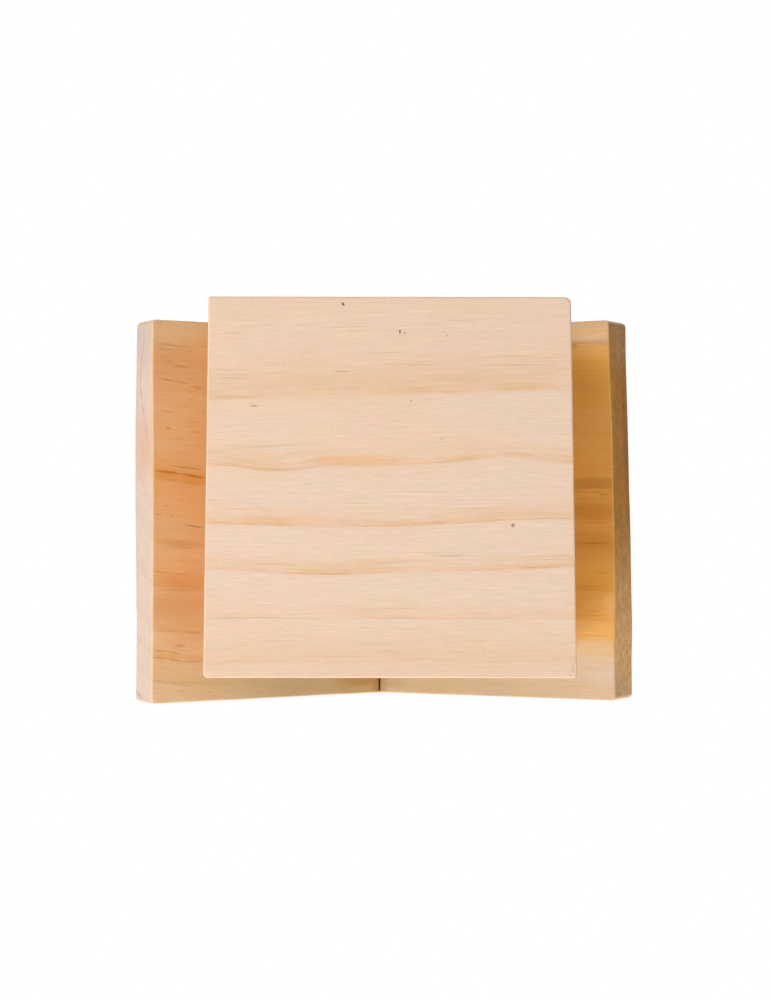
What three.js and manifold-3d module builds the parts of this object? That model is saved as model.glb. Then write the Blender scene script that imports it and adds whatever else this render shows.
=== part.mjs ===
// A bee hotel: a gabled house of sanded pine boards on a flat floor board, open at the front
// and packed with bamboo canes, each closed at the back by its own joint, for solitary bees.
// Millimetres. +Z is up, the open front faces -Y, and the origin is the middle of the floor
// board's underside.
import * as THREE from "three";
import { mergeVertices } from "three/addons/utils/BufferGeometryUtils.js";
import Module from "manifold-3d";

const wasm = await Module();
wasm.setup();

// What all pieces share
const glueGap = 0.3; // between a piece and what it seats on
const overrun = 2; // how far a cutter runs past the face that it opens
const sides = { round: 16, bore: 14, corner: 3, arris: 2, keyhole: 9 }; // facets
const up = new THREE.Vector3(0, 0, 1);
const halfTurn = Math.PI;
const quarterTurn = Math.PI / 2;

// The floor board: the square board that is seen from below
const floorBoard = {
  backWidth: 148.8,
  frontFlare: 2.2, // each end is cut a little out of square, so the front is wider
  depth: 156,
  thickness: 19,
  cornerRadius: 2,
  arris: 1, // rounding of the long edges
};

const wall = {
  inset: 0.25, // how far the outer face stands in from the floor board's back corner
  thickness: 19,
  outerHeight: 98.4, // from the floor board's top to the roof's underside, at the outer face
};

const backPanel = { thickness: 12 };

const roof = {
  pitch: THREE.MathUtils.degToRad(30),
  thickness: 19,
  sideOverhang: 31.7, // level distance from the wall's outer face to the lower eave edge
  frontOverhang: 19.5,
  ridgeShift: 0.8, // the ridge stands this far to +X of the floor board's middle
  ridgeGap: 0.4, // the dark seam between the two mitres
  cornerRadius: 2.2,
  arris: 1,
  farEaveSkew: 3.1, // the -X board's eave end is cut out of square by this much over its depth
  farFrontSkew: 1, // and its front edge falls back by this much at the eave
};

const dowel = { radius: 4, length: 30, inFloor: 12, chamfer: 0.8, endMargin: 32 };

// Countersunk wood screws for the boards, each in a hole that clears it all round
const boardScrew = { radius: 1.75, length: 35, headRadius: 3.5, headHeight: 2.1, tip: 4, sink: 0.4 };
const roofScrewMargin = { front: 26, back: 34 }; // from the front and back of the wall
const panelScrewShare = 0.45; // of the half width inside, for the screws into the back panel
const wallScrewMargin = { low: 26, high: 24 }; // from the wall's foot and its top

const hanger = {
  width: 17,
  height: 42,
  thickness: 1.5,
  cornerRadius: 4,
  entryRadius: 4.6, // the round hole that a wall screw's head goes in by
  slotRadius: 2.4, // the narrow slot that its shank slides up into
  slotRise: 9, // from the entry's centre to the slot's upper centre
  entryDrop: 4, // from the plate's middle down to the entry's centre
  screwPitch: 32,
  belowRidge: 54, // from the ridge's underside to the plate's middle
  headRoom: 6.5, // depth of the pocket behind the plate
  pocketMargin: 1, // the pocket is this much wider than the keyhole
};
const hangerScrew = { radius: 1.4, length: 10, headRadius: 2.8, headHeight: 1.2, tip: 2.4, sink: 0.1 };

// Bamboo nesting canes, picked to fill the opening
const cane = {
  clearance: 0.3, // around each cane, to its neighbours and to the house
  endWall: 5, // the bamboo's own joint, which closes the bore at the back
  recess: 5, // of the foremost canes behind the floor board's front edge
  recessSpread: 3.5, // how much further back the others stand
};
// For each cane: its place as shares of the half width inside and of the height under the roof,
// and its radius beside the others'
const caneShares = [
  [-0.8383, 0.0776, 0.74], [-0.4595, 0.1009, 1.06], [-0.0513, 0.0736, 0.86],
  [0.3572, 0.0958, 1.06], [0.7877, 0.1392, 0.98], [-0.7791, 0.25, 0.98],
  [-0.1877, 0.2055, 0.74], [0.1566, 0.2436, 0.94], [0.5407, 0.2451, 0.7],
  [-0.4433, 0.3181, 0.86], [0.8374, 0.3144, 0.74], [-0.118, 0.3379, 0.74],
  [0.4317, 0.3698, 0.82], [-0.7782, 0.4534, 1.02], [0.7792, 0.4906, 1.02],
  [-0.3677, 0.489, 1.1], [0.1366, 0.4271, 0.86], [0.4454, 0.546, 0.86],
  [-0.7607, 0.6652, 1.1], [-0.0242, 0.5669, 1.02], [0.7858, 0.6921, 0.98],
  [-0.391, 0.7049, 0.94], [0.3465, 0.6927, 0.98], [-0.039, 0.7443, 1.06],
  [0.7021, 0.8728, 1.06], [-0.7504, 0.8777, 1.02], [-0.4063, 0.8993, 0.9],
  [0.3254, 0.8923, 1.02], [-0.0463, 0.9084, 0.86],
];
const boreRadiusShares = [0.48, 0.52, 0.45, 0.55, 0.5, 0.46, 0.53];
const recessShares = [0.1, 0.7, 0.35, 1, 0, 0.55, 0.85, 0.25];

// Places that follow from the sizes above
const floorHalfDepth = floorBoard.depth / 2;
const bodyHalfWidth = floorBoard.backWidth / 2 - wall.inset;
const insideHalfWidth = bodyHalfWidth - wall.thickness;
const wallMiddle = bodyHalfWidth - wall.thickness / 2;
const wallFoot = floorBoard.thickness + glueGap;
const slope = Math.tan(roof.pitch);
const ridgeUnderside = floorBoard.thickness + wall.outerHeight + bodyHalfWidth * slope;
const undersideAt = (x) => ridgeUnderside - Math.abs(x - roof.ridgeShift) * slope;
const seatUnderRoof = glueGap / Math.cos(roof.pitch); // the same gap, measured straight down
const panelFront = floorHalfDepth - backPanel.thickness;
const panelMiddle = floorHalfDepth - backPanel.thickness / 2;

const pine = finish(0xedcfb2, 0.62, 0);
const roofPine = finish(0xe0ac7a, 0.62, 0);
const bamboo = finish(0xd8bf8a, 0.5, 0);
const beech = finish(0xd2aa7e, 0.6, 0);
const zincSteel = finish(0xb9bcc2, 0.35, 0.9);

function finish(color, roughness, metalness) {
  return new THREE.MeshStandardMaterial({ color, roughness, metalness });
}

function named(name, geometry, material) {
  const mesh = new THREE.Mesh(geometry, material);
  mesh.name = name;
  return mesh;
}

// A geometry as a solid that can be cut, and back again
function solidOf(geometry) {
  const bare = geometry.clone();
  bare.deleteAttribute("normal");
  bare.deleteAttribute("uv");
  const merged = mergeVertices(bare);
  const vertProperties = merged.attributes.position.array;
  const triVerts = new Uint32Array(merged.index.array);
  return new wasm.Manifold(new wasm.Mesh({ numProp: 3, vertProperties, triVerts }));
}

function cutFrom(geometry, cutters) {
  const left = cutters.reduce((solid, cutter) => solid.subtract(solidOf(cutter)), solidOf(geometry));
  const mesh = left.getMesh();
  const cut = new THREE.BufferGeometry();
  cut.setAttribute("position", new THREE.BufferAttribute(mesh.vertProperties, 3));
  cut.setIndex(new THREE.BufferAttribute(mesh.triVerts, 1));
  return cut;
}

// An outline through these corners, each rounded off
function roundedShape(corners, radius) {
  const shape = new THREE.Shape();
  corners.forEach((corner, i) => {
    const before = corners[(i + corners.length - 1) % corners.length];
    const after = corners[(i + 1) % corners.length];
    const start = corner.clone().add(before.clone().sub(corner).setLength(radius));
    const end = corner.clone().add(after.clone().sub(corner).setLength(radius));
    if (i === 0) shape.moveTo(start.x, start.y);
    else shape.lineTo(start.x, start.y);
    shape.quadraticCurveTo(corner.x, corner.y, end.x, end.y);
  });
  shape.closePath();
  return shape;
}

// A flat board with rounded corners and arrises, its lower face at z = 0
function sandedBoard(corners, board) {
  const geometry = new THREE.ExtrudeGeometry(roundedShape(corners, board.cornerRadius), {
    depth: board.thickness - 2 * board.arris,
    curveSegments: sides.corner,
    bevelThickness: board.arris,
    bevelSize: board.arris,
    bevelOffset: -board.arris,
    bevelSegments: sides.arris,
  });
  return geometry.translate(0, 0, board.arris);
}

// A shape drawn in X and Z, carried forward from yBack over a depth
function carriedForward(shape, yBack, depth, curveSegments = sides.round) {
  const geometry = new THREE.ExtrudeGeometry(shape, { depth, bevelEnabled: false, curveSegments });
  return geometry.rotateX(quarterTurn).translate(0, yBack, 0);
}

const points = (pairs) => pairs.map(([x, y]) => new THREE.Vector2(x, y));

function box(low, high) {
  const size = high.clone().sub(low);
  const middle = low.clone().add(high).divideScalar(2);
  return new THREE.BoxGeometry(size.x, size.y, size.z).translate(middle.x, middle.y, middle.z);
}

// A round piece whose profile of radius and height stands at a point, along a direction
function turned(profile, point, direction, facets = sides.round) {
  const geometry = new THREE.LatheGeometry(points(profile), facets);
  const turn = new THREE.Quaternion().setFromUnitVectors(new THREE.Vector3(0, 1, 0), direction);
  return geometry.applyQuaternion(turn).translate(point.x, point.y, point.z);
}

// A countersunk screw driven inward from a surface, and the hole that clears it
function screwPiece(screw, seat) {
  const headTop = seat.surface.clone().addScaledVector(seat.inward, screw.sink);
  const profile = [
    [0, -screw.length],
    [screw.radius, screw.tip - screw.length],
    [screw.radius, -screw.headHeight],
    [screw.headRadius, 0],
    [0, 0],
  ];
  return turned(profile, headTop, seat.inward.clone().negate());
}

function screwHole(screw, seat) {
  const headTop = seat.surface.clone().addScaledVector(seat.inward, screw.sink);
  const foot = -screw.length - glueGap;
  const profile = [
    [0, foot],
    [screw.radius + glueGap, foot],
    [screw.radius + glueGap, -screw.headHeight - glueGap],
    [screw.headRadius + glueGap, -glueGap],
    [screw.headRadius + glueGap, overrun],
    [0, overrun],
  ];
  return turned(profile, headTop, seat.inward.clone().negate());
}

// Floor board, with a blind hole for each of the dowels that stand in the walls' feet

const dowelBottom = floorBoard.thickness - dowel.inFloor;
const dowelSeats = [1, -1].flatMap((side) =>
  [-1, 1].map((end) => ({
    name: `dowel_${side > 0 ? "right" : "left"}_${end > 0 ? "back" : "front"}`,
    side,
    foot: new THREE.Vector3(side * wallMiddle, end * (floorHalfDepth - dowel.endMargin), dowelBottom),
  })),
);

function makeDowel(seat) {
  const narrow = dowel.radius - dowel.chamfer;
  const profile = [
    [0, 0],
    [narrow, 0],
    [dowel.radius, dowel.chamfer],
    [dowel.radius, dowel.length - dowel.chamfer],
    [narrow, dowel.length],
    [0, dowel.length],
  ];
  return turned(profile, seat.foot, up);
}

function dowelHole(seat) {
  const radius = dowel.radius + glueGap;
  const top = dowel.length + glueGap;
  return turned([[0, -glueGap], [radius, -glueGap], [radius, top], [0, top]], seat.foot, up);
}

function makeFloor() {
  const back = floorBoard.backWidth / 2;
  const front = back + floorBoard.frontFlare;
  const corners = points([
    [-front, -floorHalfDepth],
    [front, -floorHalfDepth],
    [back, floorHalfDepth],
    [-back, floorHalfDepth],
  ]);
  return cutFrom(sandedBoard(corners, floorBoard), dowelSeats.map(dowelHole));
}

// Roof boards, each laid out flat from the ridge's underside and then tipped down its slope

const slopes = { right: slopeOn(1), left: slopeOn(-1) };

function slopeOn(side) {
  return {
    side,
    down: new THREE.Vector3(side * Math.cos(roof.pitch), 0, -Math.sin(roof.pitch)),
    out: new THREE.Vector3(side * Math.sin(roof.pitch), 0, Math.cos(roof.pitch)),
  };
}

// A screw seat on the upper face, straight out from a place on the underside that is this far
// from the ridge, measured level
function roofScrewSeat(name, face, fromRidge, y) {
  const surface = new THREE.Vector3(roof.ridgeShift, y, ridgeUnderside)
    .addScaledVector(face.down, fromRidge / Math.cos(roof.pitch))
    .addScaledVector(face.out, roof.thickness);
  return { name, side: face.side, surface, inward: face.out.clone().negate() };
}

const screwInWall = boardScrew.length + boardScrew.sink - roof.thickness;
const roofScrewSeats = Object.entries(slopes).flatMap(([name, face]) => {
  const wallFromRidge = wallMiddle - face.side * roof.ridgeShift;
  const overWall = wallFromRidge + (screwInWall * Math.sin(roof.pitch)) / 2;
  const overPanel = insideHalfWidth * panelScrewShare;
  const front = roofScrewMargin.front - floorHalfDepth;
  const back = floorHalfDepth - roofScrewMargin.back;
  return [
    roofScrewSeat(`roof_screw_${name}_front`, face, overWall, front),
    roofScrewSeat(`roof_screw_${name}_back`, face, overWall, back),
    roofScrewSeat(`roof_screw_${name}_panel`, face, overPanel, panelMiddle),
  ];
});

function makeRoofBoard(face, eaveSkew, frontSkew) {
  const beforeRidge = -roof.thickness * slope - overrun; // cut off again by the mitre
  const eaveFromRidge = bodyHalfWidth + roof.sideOverhang - face.side * roof.ridgeShift;
  const eave = eaveFromRidge / Math.cos(roof.pitch);
  const front = -floorHalfDepth - roof.frontOverhang;
  const corners = points([
    [beforeRidge, face.side * front],
    [eave + eaveSkew / 2, face.side * (front + frontSkew)],
    [eave - eaveSkew / 2, face.side * floorHalfDepth],
    [beforeRidge, face.side * floorHalfDepth],
  ]);
  if (face.side < 0) corners.reverse();
  const board = sandedBoard(corners, roof);
  board.rotateY(roof.pitch);
  if (face.side < 0) board.rotateZ(halfTurn);
  board.translate(roof.ridgeShift, 0, ridgeUnderside);

  const reach = 2 * (roof.thickness + overrun);
  const mitreFace = roof.ridgeShift + (face.side * roof.ridgeGap) / 2;
  const pastRidge = mitreFace - face.side * reach;
  const mitre = box(
    new THREE.Vector3(Math.min(mitreFace, pastRidge), front - overrun, ridgeUnderside - reach),
    new THREE.Vector3(Math.max(mitreFace, pastRidge), floorHalfDepth + overrun, ridgeUnderside + reach),
  );
  const holes = roofScrewSeats.filter((seat) => seat.side === face.side);
  return cutFrom(board, [mitre, ...holes.map((seat) => screwHole(boardScrew, seat))]);
}

// Side walls, their top edges planed to the roof's slope

const wallScrewSeats = [1, -1].flatMap((side) => {
  const heights = {
    low: wallFoot + wallScrewMargin.low,
    high: undersideAt(side * bodyHalfWidth) - wallScrewMargin.high,
  };
  return Object.entries(heights).map(([level, z]) => ({
    name: `wall_screw_${side > 0 ? "right" : "left"}_${level}`,
    side,
    surface: new THREE.Vector3(side * bodyHalfWidth, panelMiddle, z),
    inward: new THREE.Vector3(-side, 0, 0),
  }));
});

function makeWall(side) {
  const outer = side * bodyHalfWidth;
  const inner = side * insideHalfWidth;
  const profile = points([
    [inner, wallFoot],
    [outer, wallFoot],
    [outer, undersideAt(outer) - seatUnderRoof],
    [inner, undersideAt(inner) - seatUnderRoof],
  ]);
  const board = carriedForward(new THREE.Shape(profile), floorHalfDepth, floorBoard.depth);
  const screws = [...roofScrewSeats, ...wallScrewSeats].filter((seat) => seat.side === side);
  const dowels = dowelSeats.filter((seat) => seat.side === side);
  return cutFrom(board, [
    ...dowels.map(dowelHole),
    ...screws.map((seat) => screwHole(boardScrew, seat)),
  ]);
}

// Back panel, between the walls, with the keyhole hanger let into it

const hangerMiddle = ridgeUnderside - hanger.belowRidge;
const entryZ = hangerMiddle - hanger.entryDrop;
const hangerRecess = hanger.thickness + glueGap;
const hangerScrewSeats = Object.entries({ high: 1, low: -1 }).map(([level, end]) => ({
  name: `hanger_screw_${level}`,
  surface: new THREE.Vector3(0, floorHalfDepth, hangerMiddle + (end * hanger.screwPitch) / 2),
  inward: new THREE.Vector3(0, -1, 0),
}));

function plateShape(margin) {
  const x = hanger.width / 2 + margin;
  const low = hangerMiddle - hanger.height / 2 - margin;
  const high = hangerMiddle + hanger.height / 2 + margin;
  return roundedShape(points([[-x, low], [x, low], [x, high], [-x, high]]), hanger.cornerRadius);
}

// The keyhole, grown by a margin: a round entry with a narrower slot rising out of it
function keyhole(PathKind, margin) {
  const entry = hanger.entryRadius + margin;
  const slot = hanger.slotRadius + margin;
  const opening = Math.asin(slot / entry); // half the arc that the slot takes from the entry
  const path = new PathKind();
  path.absarc(0, entryZ + hanger.slotRise, slot, 0, halfTurn, false);
  path.absarc(0, entryZ, entry, quarterTurn + opening, quarterTurn - opening + 2 * halfTurn, false);
  path.closePath();
  return path;
}

function makeHanger() {
  const shape = plateShape(0);
  shape.holes.push(keyhole(THREE.Path, 0));
  const plate = carriedForward(shape, floorHalfDepth, hanger.thickness, sides.keyhole);
  return cutFrom(plate, hangerScrewSeats.map((seat) => screwHole(hangerScrew, seat)));
}

function makeBackPanel() {
  const half = insideHalfWidth - glueGap;
  const profile = points([
    [-half, wallFoot],
    [half, wallFoot],
    [half, undersideAt(half) - seatUnderRoof],
    [roof.ridgeShift, ridgeUnderside - seatUnderRoof],
    [-half, undersideAt(-half) - seatUnderRoof],
  ]);
  const panel = carriedForward(new THREE.Shape(profile), floorHalfDepth, backPanel.thickness);
  const outside = floorHalfDepth + overrun;
  const recess = carriedForward(plateShape(glueGap), outside, overrun + hangerRecess, sides.keyhole);
  const pocketDepth = overrun + hangerRecess + hanger.headRoom;
  const pocketShape = keyhole(THREE.Shape, hanger.pocketMargin);
  const pocket = carriedForward(pocketShape, outside, pocketDepth, sides.keyhole);
  return cutFrom(panel, [
    recess,
    pocket,
    ...[...roofScrewSeats, ...wallScrewSeats].map((seat) => screwHole(boardScrew, seat)),
    ...hangerScrewSeats.map((seat) => screwHole(hangerScrew, seat)),
  ]);
}

// Nesting canes: the places stretch with the opening, and the canes are as thick as they can be
// with none nearer than the clearance to a neighbour, the floor, a wall or the roof

const canePlaces = caneShares.map(([acrossShare, riseShare, radiusShare], i) => {
  const x = acrossShare * insideHalfWidth;
  return {
    name: `nest_cane_${String(i + 1).padStart(2, "0")}`,
    x,
    z: floorBoard.thickness + riseShare * (undersideAt(x) - floorBoard.thickness),
    radiusShare,
    front: cane.recess + cane.recessSpread * recessShares[i % recessShares.length] - floorHalfDepth,
    back: panelFront - glueGap,
  };
});

// The radius that a place leaves room for, as what a share of 1 comes to
function roomAround({ x, z, radiusShare }, i) {
  const toWall = insideHalfWidth - Math.abs(x);
  const toFloor = z - floorBoard.thickness;
  const toRoof = (undersideAt(x) - z) * Math.cos(roof.pitch);
  const toOthers = canePlaces.slice(i + 1).map((other) => {
    const apart = Math.hypot(other.x - x, other.z - z);
    return (apart - cane.clearance) / (other.radiusShare + radiusShare);
  });
  const toHouse = Math.min(toWall, toFloor, toRoof) - cane.clearance;
  return Math.min(toHouse / radiusShare, ...toOthers);
}

const caneRadius = Math.min(...canePlaces.map(roomAround));

function makeCane(place, i) {
  const length = place.back - place.front;
  const mouth = length + overrun;
  const foot = new THREE.Vector3(place.x, place.back, place.z);
  const forward = new THREE.Vector3(0, -1, 0);
  const radius = caneRadius * place.radiusShare;
  const bore = radius * boreRadiusShares[i % boreRadiusShares.length];
  const stem = turned([[0, 0], [radius, 0], [radius, length], [0, length]], foot, forward);
  const hollow = [[0, cane.endWall], [bore, cane.endWall], [bore, mouth], [0, mouth]];
  return cutFrom(stem, [turned(hollow, foot, forward, sides.bore)]);
}

const beeHotel = new THREE.Group();
beeHotel.add(
  named("floor_board", makeFloor(), pine),
  named("side_wall_right", makeWall(1), pine),
  named("side_wall_left", makeWall(-1), pine),
  named("back_panel", makeBackPanel(), pine),
  named("roof_board_right", makeRoofBoard(slopes.right, 0, 0), roofPine),
  named(
    "roof_board_left",
    makeRoofBoard(slopes.left, roof.farEaveSkew, roof.farFrontSkew),
    roofPine,
  ),
  named("hanger_plate", makeHanger(), zincSteel),
  ...dowelSeats.map((seat) => named(seat.name, makeDowel(seat), beech)),
  ...[...roofScrewSeats, ...wallScrewSeats].map((seat) =>
    named(seat.name, screwPiece(boardScrew, seat), zincSteel),
  ),
  ...hangerScrewSeats.map((seat) => named(seat.name, screwPiece(hangerScrew, seat), zincSteel)),
  ...canePlaces.map((place, i) => named(place.name, makeCane(place, i), bamboo)),
);

export default beeHotel;
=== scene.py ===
# A small gabled bee hotel of sanded pine, packed with bamboo canes, seen from straight below.
# Blender works in metres, with +Z up and the open front towards -Y. Sizes in the dictionaries
# are in mm, and angles in degrees.
import math
import random
from functools import partial

import bmesh
import bpy
from mathutils import Matrix, Vector, noise


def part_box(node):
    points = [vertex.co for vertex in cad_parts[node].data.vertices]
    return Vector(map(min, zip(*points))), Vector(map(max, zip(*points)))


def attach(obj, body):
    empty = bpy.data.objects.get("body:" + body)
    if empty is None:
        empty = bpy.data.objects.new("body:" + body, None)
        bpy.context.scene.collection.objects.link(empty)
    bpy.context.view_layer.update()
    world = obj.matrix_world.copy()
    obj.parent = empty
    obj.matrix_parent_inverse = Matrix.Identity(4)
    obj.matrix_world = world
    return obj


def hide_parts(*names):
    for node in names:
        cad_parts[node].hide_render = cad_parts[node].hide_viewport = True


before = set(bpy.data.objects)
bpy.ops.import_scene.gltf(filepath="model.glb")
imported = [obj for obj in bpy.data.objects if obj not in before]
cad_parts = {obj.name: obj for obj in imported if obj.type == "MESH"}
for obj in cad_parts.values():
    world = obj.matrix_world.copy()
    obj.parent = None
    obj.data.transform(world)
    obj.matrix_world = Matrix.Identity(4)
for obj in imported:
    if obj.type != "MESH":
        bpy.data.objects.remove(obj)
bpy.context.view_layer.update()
mm = 0.001
print("frame loaded,", len(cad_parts), "nodes")

house = {  # sizes that more than one piece follows
    "floorTop": 19, "outside": 74.15, "inside": 55.15, "halfDepth": 78, "seat": 0.3,
    "ridgeX": 0.8, "ridgeZ": 160.21, "roofThickness": 19, "pitch": 30,
}
sideNames = {1: "right", -1: "left"}
pitch, halfDepth = math.radians(house["pitch"]), house["halfDepth"]
down = {side: Vector((side * math.cos(pitch), 0, -math.sin(pitch))) for side in sideNames}
out = {side: Vector((side * math.sin(pitch), 0, math.cos(pitch))) for side in sideNames}
ridge = Vector((house["ridgeX"], 0, house["ridgeZ"])) * mm


# Colours and nodes

def hexColor(code):  # sRGB hex to the linear colour that Blender mixes
    shares = [int(code[i:i + 2], 16) / 255 for i in (0, 2, 4)]
    linear = [s / 12.92 if s <= 0.04045 else ((s + 0.055) / 1.055) ** 2.4 for s in shares]
    return (*linear, 1)


def addNode(tree, kind, inputs=(), output=0, **settings):  # inputs are values or sockets to link
    node = tree.nodes.new("ShaderNode" + kind)
    for name, value in settings.items():
        setattr(node, name, value)
    for key, value in (inputs.items() if isinstance(inputs, dict) else enumerate(inputs)):
        if isinstance(value, bpy.types.NodeSocket):
            tree.links.new(value, node.inputs[key])
        else:
            node.inputs[key].default_value = hexColor(value) if isinstance(value, str) else value
    return node if output is None else node.outputs[output]


def newMaterial(name):  # with the function that adds its nodes
    material = bpy.data.materials.new(name)
    material.use_nodes = True
    material.node_tree.nodes.clear()
    return material, partial(addNode, material.node_tree)


def setStops(ramp, stops, interpolation="LINEAR"):  # stops are (position, hex colour or grey)
    ramp.color_ramp.interpolation = interpolation
    elements = ramp.color_ramp.elements
    while len(elements) > 1:
        elements.remove(elements[-1])
    for i, (position, shade) in enumerate(stops):
        stop = elements[0] if i == 0 else elements.new(position)
        stop.position = position
        stop.color = hexColor(shade) if isinstance(shade, str) else (shade, shade, shade, 1)
    return ramp.outputs["Color"]


# Pine. Every board is sawn out of a trunk, so its rings are rings round a pith line that lies
# outside the board. In a board's own frame x runs along the grain, y across it, and z out of
# the lower or inner face.

pineShared = {
    "grain": {  # width and length, and detail; drawn far coarser than real fibres
        "fibre": (0.55, 30, 3), "hair": (0.42, 11, 2), "speck": (0.42, 1.3, 1),
        "clump": (1.6, 24, 2), "uneven": (17, 45, 2), "blush": (5, 17, 2), "patch": (38, 95, 2),
        "dash": (1.2, 7, 1),  # resin canals, cut lengthwise, show as short dark dashes
        "fuzz": (0.7, 0.7, 3), "mottle": (3.2, 3.2, 3),  # end grain, torn a little by the saw
    },
    "seedStep": 3, "grainRoughness": 0.6,
    "swayScale": (9, 24, 24),  # slow bends, about 110 long and 42 wide
    "bell": 0.3679,  # 1/e, which gives a wave the shape of a bell
    "frayLayers": {"hair": 1, "clump": 1.5},
    "ringProfile": [(0, 0.3), (0.035, 0.0), (0.5, 0.0), (0.7, 0.12), (0.76, 0.4), (0.8, 0.3),
                    (0.9, 0.55), (0.965, 0.7), (0.985, 0.95), (1.0, 0.55)],
    "yearStart": 0.2,  # share of a year at which the next ring's strength takes over
    "latewood": {  # noise from and to, and the shares of a ring's strength there
        "uneven": (0.3, 0.65, 0.45, 1.15), "clump": (0.36, 0.62, 0.5, 1.3),
        "hair": (0.3, 0.7, 0.75, 1.2),
    },
    "woodStops": (0, 0.6, 1),
    "paledDepth": (4 * mm, 18 * mm), "patchEdge": (0.4, 0.66), "blushEdge": (0.42, 0.66),
    "dashEdge": 0.09, "speckShare": 0.6,
    "spread": (0.3, 0.7),  # where the noise nearly always lies
    "markDepth": 2.5 * mm, "markEdge": (1.3, 0.3),  # in half sizes, where it starts and is full
    "endFacing": (0.75, 0.97),  # how square to the fibres a cut is where end grain shows
    "lateSinks": -0.5, "bumpStrength": 0.3, "bumpDepth": 0.15 * mm, "roughness": (0.66, 0.55),
}
plainPine = {  # what a board's own dictionary leaves out
    "sway": 1.5, "fray": 0.7,  # how far the rings bend, and how far hairs carry their edges
    "drift": 0, "waves": [], "marks": {}, "endMarks": {}, "patch": 0.5, "blush": 0.3,
    "streak": 0.04, "hair": 0.045, "dash": 0.3, "dashFrom": 0.68, "arrisWearAndSheen": 0.3,
    "paled": 0, "paleWood": "e6c498", "endMottle": 0.05, "endFuzz": 0.06,
}


def pineMarks(add, place, color, marks, onEnd):  # knots, flecks, hairlines and tinted zones, some of them painted shade and painted light
    for tint, spots in marks.items():
        for u, v, halfLength, halfWidth, turn, amount in spots:
            spot, size = (u * mm, v * mm), (halfLength * mm, halfWidth * mm)
            away = add("Mapping", {
                "Vector": place, "Location": (0, *spot) if onEnd else (*spot, 0),
                "Rotation": Vector((onEnd, 0, not onEnd)) * math.radians(turn),
                "Scale": (1, *size) if onEnd else (*size, pineShared["markDepth"]),
            }, vector_type="TEXTURE")
            apart = add("VectorMath", [away], "Value", operation="LENGTH")
            share = add("MapRange", [apart, *pineShared["markEdge"], 0, amount],
                        interpolation_type="SMOOTHSTEP")
            color = add("Mix", {0: share, 6: color, 7: tint}, 2, data_type="RGBA")
    return color


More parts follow.
